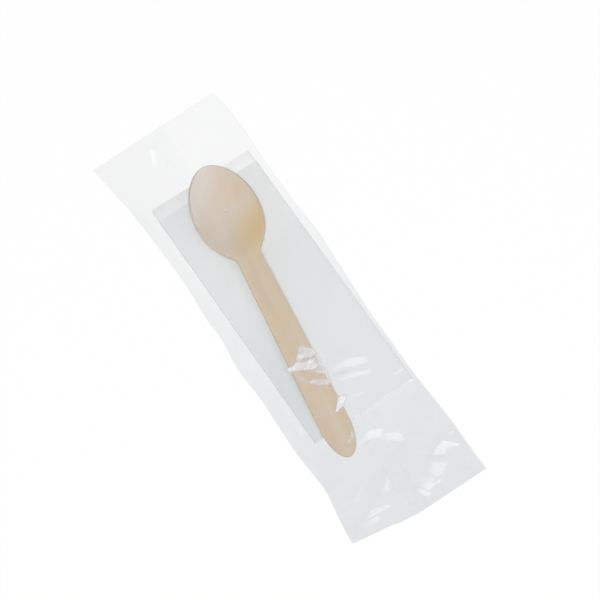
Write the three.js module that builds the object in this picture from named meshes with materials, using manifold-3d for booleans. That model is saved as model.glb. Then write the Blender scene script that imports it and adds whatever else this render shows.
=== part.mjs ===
// A cutlery kit for takeaway food: a pressed birch veneer spoon lying on a folded paper
// napkin, sealed together in a clear film sachet with two crimped ends and a back fin.
//
// Millimetres, +Z up. +Y runs along the sachet towards the bowl of the spoon, +X across it.
// The origin is under the middle of the sachet, on the surface that it lies on.

import * as THREE from 'three';
import { mergeVertices } from 'three/addons/utils/BufferGeometryUtils.js';
import Module from 'manifold-3d';

const { degToRad, clamp, lerp, smoothstep } = THREE.MathUtils;

// Spoon
const SPOON_LENGTH = 158.8;
const VENEER = 1.7;
const BOWL_WIDTH = 33.5;
const BOWL_LENGTH = 50;
const BOWL_DEPTH = 5.5;
const BOWL_WIDEST = 26; // from the tip to the widest and deepest place
const TIP_BLUNTNESS = 0.47; // share of the half width at which the outline leaves the tip
const TIP_FULLNESS = 0.44; // share of the way from the widest place that stays full, to the tip
const HEEL_FULLNESS = 0.5; // the same to the neck
const SHOULDER_RUN = 6.7; // the outline's slope into the neck, along and across the spoon
const SHOULDER_RISE = 5.7;
const NECK_WIDTH = 12.4;
const NECK_FILLET = 1; // along the outline, each side of the corner
const NECK_FADE = 1.6; // how gently the dish runs out into the neck, 1 being a plain parabola
const HANDLE_WIDTH = 15; // where the rounded end begins
const HANDLE_ROUND = 16; // length of the rounded end
const END_FULLNESS = 0.4; // share of the rounded end that stays full
const END_BLUNTNESS = 0.67; // share of the half width at which the outline reaches the end
const EDGE_BREAK = 0.3; // sanded off the veneer's edges
const SPOON_TURN = degToRad(-7.7); // askew in the sachet
const SPOON_SHIFT = new THREE.Vector2(-2.9, 2.1); // its middle from the middle of the sachet

// Napkin: folded in half twice across its width, then once across its length
const SHEET_WIDTH = 221;
const SHEET_LENGTH = 276;
const PLY = 0.2;
const PLY_GAP = 0.1;
const EDGE_STEP = 1.2; // how far the inner cut edge lies behind the outer one
const HALF_STEP = 7; // how far the lower half reaches past the upper half
const NAPKIN_SHIFT = new THREE.Vector2(5, 8.5); // its middle from the middle of the sachet

// Film sachet
const FILM = 0.05;
const SIDE_ROOM = 16.8; // lay-flat width beyond the folded napkin
const END_ROOM = 26.6; // from the spoon to each end seal
const END_SEAL = 9;
const SEAL_RIBS = 4;
const RIB_HEIGHT = 0.25;
const TOOTH_PITCH = 1.8; // of the zigzag cut
const TOOTH_DEPTH = 0.5;
const FIN_WIDTH = 9;
const FIN_ROOT = 1; // width of the fin that is welded to the back
const FIN_GAP = 0.08; // between the folded fin and the back
const FIN_RAMP = 3; // over which the back comes down to the table beside the fin
const FOLD_LIFT = 0.9; // height of the side folds off the table
const HEM = 1.5; // width of the tight turn beside a side fold
const VENT_DIAMETER = 1;
const VENTS = [[-0.2, 67.6], [4.7, 56.5]];
const CLEARANCE = 0.3; // between the film, the napkin and the spoon

// Slack in the film: gathers that run in from the end seals, creases drawn across the
// handle where the spoon pulls on the film, and dents in the left side fold
const GATHER_HEIGHT = 0.9;
const GATHER_PITCH = 13;
const GATHER_REACH = 26;
const CREASE_REACH = 4.5;
const CREASES = [
  { from: [-15, -27], to: [20, -41], height: 1.4 },
  { from: [-1, -44], to: [28, -58], height: 1.0 },
  { from: [-8, -57], to: [8, -54], height: 1.2 },
  { from: [-4, -73], to: [12, -83], height: 1.3 },
  { from: [16, -100], to: [27, -97], height: 1.0 },
  { from: [-24, -95], to: [-17, -91], height: 0.9 },
];
const DENT_REACH = 9;
const DENTS = [{ y: 6.5, depth: 2.4 }, { y: -88, depth: 2.4 }];

// Facets, and rounds of settling for the film
const CELL = 4.4; // across the film
const STATION = 5; // along the film
const CURVE_STEPS = 9; // for each curve of the spoon's outline
const DISH_STEPS = 8; // across the spoon
const BEND_STEPS = 4; // for each turn of the napkin across its width
const CROSS_FOLD_STEPS = 6;
const NAPKIN_RUNS = 4; // along each half of the napkin
const VENT_SIDES = 8;
const SETTLE_ROUNDS = 300;
const DRAW_IN_PASSES = 3;

const film = new THREE.MeshStandardMaterial({
  color: 0xf3f5f6, roughness: 0.12, metalness: 0, transparent: true, opacity: 0.25,
});
const tissue = new THREE.MeshStandardMaterial({ color: 0xf1f2f2, roughness: 0.95, metalness: 0 });
const birch = new THREE.MeshStandardMaterial({ color: 0xdcc8a9, roughness: 0.7, metalness: 0 });

const wasm = await Module();
wasm.setup();

// Evenly spaced values from one end to the other, both included.
function evenly(from, to, steps) {
  return Array.from({ length: steps + 1 }, (_, i) => lerp(from, to, i / steps));
}

// A closed mesh over a row of rings that all have the same number of points. A ring runs out
// along one long side and, from the split on, back along the other.
function loft(rings, split) {
  const count = rings[0].length;
  const faces = [];
  for (let k = 0; k + 1 < rings.length; k += 1) {
    for (let i = 0; i < count; i += 1) {
      const next = (i + 1) % count;
      const [a, b] = [k * count + i, k * count + next];
      const [c, d] = [b + count, a + count];
      faces.push([a, b, c], [a, c, d]);
    }
  }
  const last = (rings.length - 1) * count;
  faces.push(...endFaces(rings[0], split));
  faces.push(...endFaces(rings.at(-1), split).map(([a, b, c]) => [last + c, last + b, last + a]));
  return closedGeometry(rings.flat(), faces);
}

// The triangles that fill a ring, zipped along its length by the shorter diagonal each time.
function endFaces(ring, split) {
  const numbers = ring.map((_, i) => i);
  const [out, back] = [numbers.slice(0, split), numbers.slice(split).reverse()];
  const reach = (a, b) => (a === undefined || b === undefined ? Infinity : ring[a].distanceTo(ring[b]));
  const faces = [];
  let [p, q] = [0, 0];
  while (p + 1 < out.length || q + 1 < back.length) {
    if (reach(out[p + 1], back[q]) <= reach(out[p], back[q + 1])) {
      faces.push([out[p + 1], out[p], back[q]]);
      p += 1;
    } else {
      faces.push([back[q], back[q + 1], out[p]]);
      q += 1;
    }
  }
  return faces;
}

// Merges the points that coincide, drops the faces that this closes up and turns the rest
// outwards.
function closedGeometry(points, faces) {
  const raw = new THREE.BufferGeometry().setFromPoints(points);
  raw.setIndex(faces.flat());
  const merged = mergeVertices(raw, 1e-4);
  const index = [];
  let volume = 0;
  const [a, b, c] = [new THREE.Vector3(), new THREE.Vector3(), new THREE.Vector3()];
  for (let i = 0; i < merged.index.count; i += 3) {
    const [p, q, r] = [0, 1, 2].map((k) => merged.index.getX(i + k));
    if (p === q || q === r || r === p) continue;
    index.push(p, q, r);
    a.fromBufferAttribute(merged.attributes.position, p);
    b.fromBufferAttribute(merged.attributes.position, q);
    c.fromBufferAttribute(merged.attributes.position, r);
    volume += a.dot(b.cross(c));
  }
  merged.setIndex(volume > 0 ? index : index.reverse());
  return merged;
}

function solidOf(geometry) {
  const bare = geometry.clone();
  bare.deleteAttribute('normal');
  bare.deleteAttribute('uv');
  const merged = mergeVertices(bare, 1e-4);
  return new wasm.Manifold(new wasm.Mesh({
    numProp: 3,
    vertProperties: new Float32Array(merged.attributes.position.array),
    triVerts: new Uint32Array(merged.index.array),
  }));
}

function geometryOf(solid) {
  const mesh = solid.getMesh();
  const geometry = new THREE.BufferGeometry();
  geometry.setAttribute('position', new THREE.BufferAttribute(mesh.vertProperties, 3));
  geometry.setIndex(new THREE.BufferAttribute(mesh.triVerts, 1));
  return geometry;
}

function namedMesh(name, geometry, material) {
  geometry.computeVertexNormals();
  const mesh = new THREE.Mesh(geometry, material);
  mesh.name = name;
  return mesh;
}

// Half of the spoon's outline: x is the distance from the tip, y the half width.
function spoonHalfOutline() {
  const half = BOWL_WIDTH / 2;
  const neck = new THREE.Vector2(BOWL_LENGTH, NECK_WIDTH / 2);
  const shoulder = neck.clone().add(new THREE.Vector2(-SHOULDER_RUN, SHOULDER_RISE));
  const intoNeck = shoulder.clone().sub(neck).setLength(NECK_FILLET).add(neck);
  const heel = lerp(BOWL_WIDEST, BOWL_LENGTH, HEEL_FULLNESS);
  const roundStart = new THREE.Vector2(SPOON_LENGTH - HANDLE_ROUND, HANDLE_WIDTH / 2);
  const roundFull = roundStart.x + END_FULLNESS * HANDLE_ROUND;
  const outline = new THREE.Path();
  outline.moveTo(0, 0);
  outline.bezierCurveTo(0, TIP_BLUNTNESS * half, TIP_FULLNESS * BOWL_WIDEST, half, BOWL_WIDEST, half);
  outline.bezierCurveTo(heel, half, shoulder.x, shoulder.y, intoNeck.x, intoNeck.y);
  outline.quadraticCurveTo(neck.x, neck.y, neck.x + NECK_FILLET, neck.y);
  outline.lineTo(roundStart.x, roundStart.y);
  outline.bezierCurveTo(
    roundFull, roundStart.y, SPOON_LENGTH, END_BLUNTNESS * roundStart.y, SPOON_LENGTH, 0,
  );
  return outline.getPoints(CURVE_STEPS);
}

// How far the press pushed the veneer down, at a distance from the tip and a share of the
// half width. The dish rises steeply to the tip and fades out into the neck.
function bowlDip(fromTip, share) {
  const neckSide = fromTip > BOWL_WIDEST;
  const reach = neckSide ? BOWL_LENGTH - BOWL_WIDEST : BOWL_WIDEST;
  const along = clamp(1 - ((fromTip - BOWL_WIDEST) / reach) ** 2, 0, 1);
  return BOWL_DEPTH * (1 - share ** 2) * (neckSide ? along ** NECK_FADE : along);
}

// The spoon in its own frame: the tip at the origin, the handle along -Y, and the rim and
// the top of the handle on z = 0.
function spoonGeometry() {
  const shares = evenly(-1, 1, DISH_STEPS);
  const rings = spoonHalfOutline().map(({ x: fromTip, y: half }) => {
    const bevel = Math.min(EDGE_BREAK, half);
    const ring = [];
    const add = (x, z) => ring.push(new THREE.Vector3(x, -fromTip, z));
    for (const share of shares) add(share * (half - bevel), -bowlDip(fromTip, share));
    add(half, -bevel);
    add(half, bevel - VENEER);
    for (const share of shares.toReversed()) add(share * (half - bevel), -bowlDip(fromTip, share) - VENEER);
    add(-half, bevel - VENEER);
    add(-half, -bevel);
    return ring;
  });
  return loft(rings, shares.length + 1);
}

const layerPitch = PLY + PLY_GAP;
const stackHeight = 4 * layerPitch;
const foldedWidth = SHEET_WIDTH / 4;
const lowerHalf = (SHEET_LENGTH + HALF_STEP) / 2;
const upperHalf = (SHEET_LENGTH - HALF_STEP) / 2;

// The four layers of the folded napkin as one line of paper: x across the napkin, y up
// through the layers. The outer turn wraps the inner turn on the right.
function napkinSection() {
  const [first, second, third, fourth] = [0.5, 1.5, 2.5, 3.5].map((k) => k * layerPitch);
  const right = foldedWidth / 2 - 1.5 * layerPitch - PLY / 2;
  const left = -foldedWidth / 2 + 0.5 * layerPitch + PLY / 2;
  const middle = 2 * layerPitch;
  const line = new THREE.Path();
  line.moveTo(-foldedWidth / 2, first);
  line.lineTo(right, first);
  line.absarc(right, middle, 1.5 * layerPitch, -Math.PI / 2, Math.PI / 2, false);
  line.lineTo(left, fourth);
  line.absarc(left, 3 * layerPitch, 0.5 * layerPitch, Math.PI / 2, 1.5 * Math.PI, false);
  line.lineTo(right, third);
  line.absarc(right, middle, 0.5 * layerPitch, Math.PI / 2, -Math.PI / 2, true);
  line.lineTo(-foldedWidth / 2 + EDGE_STEP, second);
  return thicken(line.getPoints(BEND_STEPS), PLY);
}

// The outline of a line of points that has been given a thickness.
function thicken(points, thickness) {
  const sides = [[], []];
  points.forEach((point, i) => {
    const before = points[Math.max(i - 1, 0)];
    const after = points[Math.min(i + 1, points.length - 1)];
    const along = after.clone().sub(before).normalize();
    const offset = new THREE.Vector2(-along.y, along.x).multiplyScalar(thickness / 2);
    sides[0].push(point.clone().add(offset));
    sides[1].unshift(point.clone().sub(offset));
  });
  return sides.flat();
}

// The section drawn along the lower half, round the cross fold and back along the upper
// half. The lowest ply lies on z = 0 and the cross fold is at y = 0.
function napkinGeometry() {
  const section = napkinSection();
  const foldY = stackHeight;
  const foldZ = stackHeight + PLY_GAP / 2;
  const ring = (y, angle) => section.map((p) => {
    const radius = foldZ - p.y;
    return new THREE.Vector3(p.x, y - radius * Math.cos(angle), foldZ + radius * Math.sin(angle));
  });
  const [down, up] = [-Math.PI / 2, Math.PI / 2];
  const rings = [
    ...evenly(lowerHalf, foldY, NAPKIN_RUNS).map((y) => ring(y, down)),
    ...evenly(down, up, CROSS_FOLD_STEPS).slice(1, -1).map((angle) => ring(foldY, angle)),
    ...evenly(foldY, upperHalf, NAPKIN_RUNS).map((y) => ring(y, up)),
  ];
  return loft(rings, section.length / 2);
}

const finRise = 2 * FILM + FIN_GAP;
const napkinBottom = finRise + FILM + CLEARANCE;
const napkinTop = napkinBottom + 2 * stackHeight + PLY_GAP;
const napkinEnd = NAPKIN_SHIFT.y - lowerHalf / 2;

const napkin = namedMesh('paper_napkin', napkinGeometry(), tissue);
napkin.position.set(NAPKIN_SHIFT.x, napkinEnd, napkinBottom);

// The spoon lies on the napkin under its bowl and where its handle crosses the cross fold.
const spoonSpan = SPOON_LENGTH * Math.cos(SPOON_TURN);
const spoonAim = new THREE.Vector2(Math.sin(SPOON_TURN), -Math.cos(SPOON_TURN));
const tip = spoonAim.clone().multiplyScalar(-SPOON_LENGTH / 2).add(SPOON_SHIFT);
const handleCrossing = (tip.y - napkinEnd) / Math.cos(SPOON_TURN);
const spoonPitch = Math.atan2(BOWL_DEPTH, handleCrossing - BOWL_WIDEST);
const tipHeight = napkinTop + CLEARANCE
  + BOWL_WIDEST * Math.sin(spoonPitch) + (BOWL_DEPTH + VENEER) * Math.cos(spoonPitch);

const spoon = namedMesh('wooden_spoon', spoonGeometry(), birch);
spoon.rotation.set(spoonPitch, 0, SPOON_TURN, 'ZXY');
spoon.position.set(tip.x, tip.y, tipHeight);

const filmWidth = foldedWidth + SIDE_ROOM;
const filmLength = spoonSpan + 2 * (END_ROOM + END_SEAL);
const sealLine = filmLength / 2 - END_SEAL;
const finSide = FIN_WIDTH / 2 + FIN_GAP;
const sealMouth = FILM; // the sheets stand this far apart where the seal ends
const cells = Math.ceil((filmWidth - 2 * HEM) / CELL);
const stations = evenly(-sealLine, sealLine, Math.ceil((2 * sealLine) / STATION));

// Points all over a mesh, as placed, no further apart than the given spacing.
function surfacePoints(mesh, spacing) {
  mesh.updateMatrixWorld();
  const { index, attributes: { position } } = mesh.geometry;
  const points = [];
  for (let i = 0; i < index.count; i += 3) {
    const [a, b, c] = [0, 1, 2].map((k) => new THREE.Vector3()
      .fromBufferAttribute(position, index.getX(i + k)).applyMatrix4(mesh.matrixWorld));
    const steps = Math.ceil(Math.max(a.distanceTo(b), b.distanceTo(c), c.distanceTo(a)) / spacing);
    for (let m = 0; m <= steps; m += 1) {
      for (let n = 0; n <= steps - m; n += 1) {
        points.push(a.clone().multiplyScalar((steps - m - n) / steps)
          .addScaledVector(b, m / steps).addScaledVector(c, n / steps));
      }
    }
  }
  return points;
}

// Where the columns of the film cross a station: the side folds, the hems and even cells.
function columnsBetween(left, right) {
  return [left, ...evenly(left + HEM, right - HEM, cells), right];
}

// How high the contents hold the outside of the film at each crossing of its grid, going by
// their highest point within one facet of it.
function contentHeights(grid, contents) {
  return grid.map((columns, j) => {
    const near = contents.filter((p) => Math.abs(p.y - stations[j]) < STATION);
    return columns.map((_, i) => {
      const low = columns[Math.max(i - 1, 0)];
      const high = columns[Math.min(i + 1, columns.length - 1)];
      const under = near.filter((p) => p.x > low && p.x < high);
      return under.reduce((top, p) => Math.max(top, p.z + CLEARANCE + FILM), 0);
    });
  });
}

// The height of the side folds: down on the table at the seals and lifted in between.
function foldHeight(y) {
  return FILM + FOLD_LIFT * smoothstep(sealLine - Math.abs(y), 0, 3 * END_SEAL);
}

// The upper sheet drawn tight over the contents, by letting each crossing settle to the
// mean of its neighbours unless the contents hold it up.
function drape(grid, floor) {
  const last = stations.length - 1;
  const heights = grid.map((columns, j) => columns.map((_, i) => {
    const onSeal = j === 0 || j === last;
    const onFold = i === 0 || i === columns.length - 1;
    if (onSeal) return backRise(grid[j][i]) + 2 * FILM + sealMouth;
    return onFold ? foldHeight(stations[j]) + FILM : floor[j][i];
  }));
  const step = stations[1] - stations[0];
  for (let round = 0; round < SETTLE_ROUNDS; round += 1) {
    for (let j = 1; j < last; j += 1) {
      for (let i = 1; i + 1 < grid[j].length; i += 1) {
        const before = grid[j][i] - grid[j][i - 1];
        const after = grid[j][i + 1] - grid[j][i];
        const across = (heights[j][i + 1] * before + heights[j][i - 1] * after) / (before + after);
        const along = (heights[j + 1][i] + heights[j - 1][i]) / 2;
        const pull = (before * after) / (step * step);
        heights[j][i] = Math.max(floor[j][i], (across + along * pull) / (1 + pull));
      }
    }
  }
  return heights;
}

// How far the film's slack stands above the tight sheet.
function slack(x, y) {
  const fromSeal = sealLine - Math.abs(y);
  const crest = GATHER_REACH / 3;
  const rise = smoothstep(fromSeal, 0, crest) * (1 - smoothstep(fromSeal, crest, GATHER_REACH));
  let height = GATHER_HEIGHT * rise * (0.5 + 0.5 * Math.cos((2 * Math.PI * x) / GATHER_PITCH));
  const here = new THREE.Vector3(x, y, 0);
  const nearest = new THREE.Vector3();
  for (const crease of CREASES) {
    const line = new THREE.Line3(new THREE.Vector3(...crease.from, 0), new THREE.Vector3(...crease.to, 0));
    line.closestPointToPoint(here, true, nearest);
    height = Math.max(height, crease.height * clamp(1 - nearest.distanceTo(here) / CREASE_REACH, 0, 1));
  }
  return height;
}

// How far the left side fold is pushed in at its dents.
function dentAt(y) {
  const depths = DENTS.map((dent) => dent.depth * (1 - smoothstep(Math.abs(y - dent.y), 0, DENT_REACH)));
  return Math.max(...depths);
}

// The film's grid and the heights of its upper sheet. The side folds draw in until the
// two sheets together are as wide as the flat tube.
function settledFilm(contents) {
  let halfWidths = stations.map(() => filmWidth / 2);
  let grid;
  let heights;
  for (let pass = 0; pass < DRAW_IN_PASSES; pass += 1) {
    grid = halfWidths.map((half, j) => columnsBetween(dentAt(stations[j]) - half, half));
    heights = drape(grid, contentHeights(grid, contents));
    halfWidths = halfWidths.map((half, j) => {
      let upper = dentAt(stations[j]);
      for (let i = 1; i < grid[j].length; i += 1) {
        upper += Math.hypot(grid[j][i] - grid[j][i - 1], heights[j][i] - heights[j][i - 1]);
      }
      return half - (upper + 2 * half - 2 * filmWidth) / 4;
    });
  }
  heights = heights.map((row, j) => row.map((z, i) => {
    const fromFold = Math.min(grid[j][i] - grid[j][0], grid[j].at(-1) - grid[j][i]);
    return z + slack(grid[j][i], stations[j]) * smoothstep(fromFold, HEM, 4 * HEM);
  }));
  return { grid, heights };
}

// How far the back is raised where it rides over the folded fin.
function backRise(x) {
  return finRise * (1 - clamp((Math.abs(x) - finSide) / FIN_RAMP, 0, 1));
}

// One ring of film round the sachet, seen along +Y: the upper sheet from left to right and
// the back from right to left. The inset is zero for the outside of the film and its
// thickness for the inside, which stops short of the folds and closes to a slit there.
function filmRing(y, columns, upper, fold, lift, inset) {
  const [left, right] = [columns[0], columns.at(-1)];
  const turn = 3 * inset;
  const split = FILM - 0.75 * inset;
  const ring = columns.map((x, i) => {
    if (i === 0) return new THREE.Vector3(left + turn, y, fold + split);
    if (i === columns.length - 1) return new THREE.Vector3(right - turn, y, fold + split);
    return new THREE.Vector3(x, y, upper[i] - inset);
  });
  ring.push(new THREE.Vector3(right - turn, y, fold - split));
  const finRamp = finSide + FIN_RAMP;
  for (const x of [right - HEM, finRamp, finSide, -finSide, -finRamp, left + HEM]) {
    ring.push(new THREE.Vector3(x, y, lift + backRise(x) + inset));
  }
  ring.push(new THREE.Vector3(left + turn, y, fold - split));
  return ring;
}

// The back fin: two welded edges folded flat against the back, joined to it at the root.
function finGeometry(length) {
  const half = FIN_WIDTH / 2;
  const hook = new THREE.Shape();
  hook.moveTo(-half, 0);
  hook.lineTo(half, 0);
  hook.lineTo(half, 2 * FILM);
  hook.lineTo(FIN_ROOT - half, 2 * FILM);
  hook.lineTo(FIN_ROOT - half, finRise + FILM / 2);
  hook.lineTo(-half, finRise + FILM / 2);
  const geometry = new THREE.ExtrudeGeometry(hook, { depth: length, bevelEnabled: false });
  return geometry.rotateX(Math.PI / 2).translate(0, length / 2, 0);
}

// What the zigzag knife takes off one end, from its teeth outwards.
function trimmedEnd(sign) {
  const teeth = Math.round(filmWidth / TOOTH_PITCH) + 2;
  const reach = (teeth * TOOTH_PITCH) / 2;
  const waste = filmLength / 2 + 4 * TOOTH_DEPTH;
  const knife = new THREE.Shape();
  knife.moveTo(-reach, waste);
  evenly(-reach, reach, 2 * teeth).forEach((x, i) => {
    knife.lineTo(x, filmLength / 2 - (i % 2) * TOOTH_DEPTH);
  });
  knife.lineTo(reach, waste);
  const sealHeight = finRise + RIB_HEIGHT + 2 * FILM;
  const geometry = new THREE.ExtrudeGeometry(knife, { depth: 3 * sealHeight, bevelEnabled: false });
  return geometry.translate(0, 0, -sealHeight).rotateZ(sign > 0 ? 0 : Math.PI);
}

// Height of the settled film's upper sheet anywhere between its crossings.
function heightAt({ grid, heights }, x, y) {
  const j = stations.findIndex((station) => station > y);
  const share = (y - stations[j - 1]) / (stations[j] - stations[j - 1]);
  const onRow = (row) => {
    const i = grid[row].findIndex((column) => column > x);
    const part = (x - grid[row][i - 1]) / (grid[row][i] - grid[row][i - 1]);
    return lerp(heights[row][i - 1], heights[row][i], part);
  };
  return lerp(onRow(j - 1), onRow(j), share);
}

function filmGeometry(contents) {
  const settled = settledFilm(contents);
  const { grid, heights } = settled;
  const body = (inset) => stations.map(
    (y, j) => filmRing(y, grid[j], heights[j], foldHeight(y), 0, inset),
  );

  // Ribs pressed across the seal, which runs a little past the cut
  const flat = columnsBetween(-filmWidth / 2, filmWidth / 2);
  const sealRows = evenly(sealLine, filmLength / 2 + TOOTH_DEPTH, 2 * SEAL_RIBS + 1).slice(1);
  const seal = (sign) => sealRows.map((y, k) => {
    const lift = (k % 2) * RIB_HEIGHT;
    const upper = flat.map((x) => lift + backRise(x) + 2 * FILM);
    return filmRing(sign * y, flat, upper, lift + FILM, lift, 0);
  });
  const rings = [...seal(-1).reverse(), ...body(0), ...seal(1)];
  let solid = solidOf(loft(rings, flat.length))
    .add(solidOf(finGeometry(filmLength + 2 * TOOTH_DEPTH)))
    .subtract(solidOf(loft(body(FILM), flat.length)));
  for (const sign of [-1, 1]) solid = solid.subtract(solidOf(trimmedEnd(sign)));
  for (const [x, y] of VENTS) {
    const radius = VENT_DIAMETER / 2;
    const pin = new THREE.CylinderGeometry(radius, radius, 4 * radius, VENT_SIDES);
    pin.rotateX(Math.PI / 2).translate(x, y, heightAt(settled, x, y));
    solid = solid.subtract(solidOf(pin));
  }
  return geometryOf(solid);
}

const contents = [napkin, spoon].flatMap((mesh) => surfacePoints(mesh, CELL / 2));
const sachet = namedMesh('film_sachet', filmGeometry(contents), film);

const kit = new THREE.Group();
kit.add(sachet, napkin, spoon);

export default kit;
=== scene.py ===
import math

import bpy
import numpy as np
from mathutils import Matrix, Vector
from mathutils.bvhtree import BVHTree


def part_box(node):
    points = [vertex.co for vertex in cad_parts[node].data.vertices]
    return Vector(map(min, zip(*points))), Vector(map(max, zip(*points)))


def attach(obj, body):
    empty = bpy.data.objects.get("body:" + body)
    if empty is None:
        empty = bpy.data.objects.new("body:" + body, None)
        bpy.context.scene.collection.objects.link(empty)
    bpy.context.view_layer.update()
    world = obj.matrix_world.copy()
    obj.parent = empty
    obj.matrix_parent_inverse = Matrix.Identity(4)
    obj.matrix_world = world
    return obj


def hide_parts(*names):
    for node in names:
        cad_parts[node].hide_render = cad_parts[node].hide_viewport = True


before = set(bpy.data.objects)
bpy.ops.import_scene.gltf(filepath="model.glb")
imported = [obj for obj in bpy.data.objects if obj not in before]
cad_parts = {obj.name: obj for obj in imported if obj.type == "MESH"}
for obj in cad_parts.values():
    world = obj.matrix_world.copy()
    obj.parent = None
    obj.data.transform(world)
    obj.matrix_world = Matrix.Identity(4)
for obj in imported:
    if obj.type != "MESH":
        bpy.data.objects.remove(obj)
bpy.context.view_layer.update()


# Paper napkin
# One sheet of white tissue paper, folded in half twice across its width and once across its
# length. It lies loose on the back of the sachet, and the spoon lies loose on it.

MM = 0.001
SHEET_WIDTH = 221 * MM
SHEET_LENGTH = 276 * MM
PLY = 0.28 * MM
LAYER_PITCH = 0.3 * MM
EDGE_STEP = 1.2 * MM  # how far the inner cut edge lies behind the outer one
HALF_STEP = 7 * MM  # how far the lower half reaches past the upper half
SWELL = 0.3 * MM  # how far the loose layers rise and sink
SWELL_WAVES = (  # how far each runs for a radian, across and along, and where it starts
    (9 * MM, 31 * MM, 0), (-23 * MM, 17 * MM, 0), (13 * MM, 13 * MM, 1))
SPLAY = (0.9 * MM, 1.6 * MM)  # how far the loose left side lies out, from the last fold to the ends
TISSUE_CELL = 2 * MM
TURN_STEPS = 6
SHARP_ANGLE = math.radians(60)  # edges that bend further than this look sharp

TISSUE = (0.87, 0.885, 0.893, 1)
TISSUE_SHADE = (0.835, 0.85, 0.863, 1)
# Painted light beside the bowl, which lifts the shade that the bowl casts there
TISSUE_LIT = (0.925, 0.935, 0.94, 1)  # beside the bowl
# Painted shade beside the handle
TISSUE_DIM = (0.75, 0.785, 0.80, 1)  # beside the handle, where less light gets in
# Painted light where the table would shine through the fewer layers, also used on the upright edges
TISSUE_THIN_LIT = (0.97, 0.97, 0.97, 1)  # where fewer layers let the table shine through
BLACK = (0, 0, 0, 1)
# A painted glow, where there is no lamp, on the upright edges and on the strip past the upper half
EDGE_GLOW = 0.18  # light that seeps out through the edges of the thin paper
THIN_GLOW = 0.25  # share of it that comes through the strip past the upper half

# The paper's noise, by its scale per metre and its detail, and its dimples
TISSUE_FIBRES = (1400, 6.0)
TISSUE_CLOUDS = (90, 3.0)
DIMPLE_SCALE = 750.0
DIMPLE_SOFTNESS = 0.6
TISSUE_BUMP = (0.3, 0.12 * MM)  # strength and depth

# Stretches across and along the sachet over which the paper's painted shade and painted light come
# and go, and the shares at their two ends
DIM_ACROSS = (-14 * MM, -6 * MM)
DIM_ALONG = (-45 * MM, 20 * MM)
LIT_ACROSS = (-20 * MM, 20 * MM)
LIT_SHARES = (0.1, 0.5)
LIT_ALONG = (28 * MM, 44 * MM)
THIN_ACROSS = (-25 * MM, 25 * MM)
THIN_SHARES = (0.3, 0.95)
EDGE_ACROSS = (-22 * MM, -16 * MM)
EDGE_SHARES = (0.85, 1)
EDGE_LEVELNESS = (0.4, 0.97)  # between upright edges and level paper


def straight(start, end, spacing):
    """Points from one place to another, about as far apart as the spacing."""
    start, end = np.array(start), np.array(end)
    steps = max(1, round(np.linalg.norm(end - start) / spacing))
    return start + (end - start) * np.linspace(0, 1, steps + 1)[:, None]


def turn(centre, radius, start, end, steps):
    """Points round a bend, between two angles in degrees."""
    angles = np.radians(np.linspace(start, end, steps + 1))
    return np.array(centre) + radius * np.stack([np.cos(angles), np.sin(angles)], axis=1)


def joined(*lines):
    """One line of points from several, each of which starts where the one before it ends."""
    return np.concatenate([lines[0]] + [line[1:] for line in lines[1:]])


def run_along(line):
    """How far along a line of points each of them lies."""
    steps = np.linalg.norm(np.diff(line, axis=0), axis=1)
    return np.concatenate([[0], np.cumsum(steps)])


def grid_faces(index):
    """Quads over a grid of point numbers, facing up where x runs along the rows."""
    corners = [index[:-1, :-1], index[:-1, 1:], index[1:, 1:], index[1:, :-1]]
    return np.stack(corners, axis=-1).reshape(-1, 4)


def new_piece(name, points, faces):
    """A new object with a mesh of its own."""
    mesh = bpy.data.meshes.new(name)
    mesh.from_pydata(np.asarray(points).reshape(-1, 3).tolist(), [], np.asarray(faces).tolist())
    mesh.update()
    piece = bpy.data.objects.new(name, mesh)
    bpy.context.collection.objects.link(piece)
    return piece


def set_uv(piece, name, uv):
    """Gives each point of a piece its place on a flat map, in metres."""
    corners = np.empty(len(piece.data.loops), dtype=int)
    piece.data.loops.foreach_get("vertex_index", corners)
    layer = piece.data.uv_layers.new(name=name)
    layer.data.foreach_set("uv", np.asarray(uv).reshape(-1, 2)[corners].ravel())


def bake(piece):
    """Makes what the modifiers give into the piece's own mesh, smooth but for sharp edges."""
    depsgraph = bpy.context.evaluated_depsgraph_get()
    piece.data = bpy.data.meshes.new_from_object(
        piece.evaluated_get(depsgraph), preserve_all_data_layers=True, depsgraph=depsgraph)
    piece.modifiers.clear()
    piece.data.shade_smooth()
    piece.data.set_sharp_from_angle(angle=SHARP_ANGLE)


class Socket:
    """A node's output that can be used in sums."""

    def __init__(self, tree, output):
        self.tree = tree
        self.output = output

    def sibling(self, name):
        """Another output of the same node."""
        return Socket(self.tree, self.output.node.outputs[name])

    def __add__(self, other):
        return self.tree.math("ADD", self, other)

    def __radd__(self, other):
        return self.tree.math("ADD", other, self)

    def __sub__(self, other):
        return self.tree.math("SUBTRACT", self, other)

    def __rsub__(self, other):
        return self.tree.math("SUBTRACT", other, self)

    def __mul__(self, other):
        return self.tree.math("MULTIPLY", self, other)

    def __rmul__(self, other):
        return self.tree.math("MULTIPLY", other, self)

    def __truediv__(self, other):
        return self.tree.math("DIVIDE", self, other)

    def __pow__(self, other):
        return self.tree.math("POWER", self, other)

    def __abs__(self):
        return self.tree.math("ABSOLUTE", self, 0)

    def __lt__(self, other):
        return self.tree.math("LESS_THAN", self, other)


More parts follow.
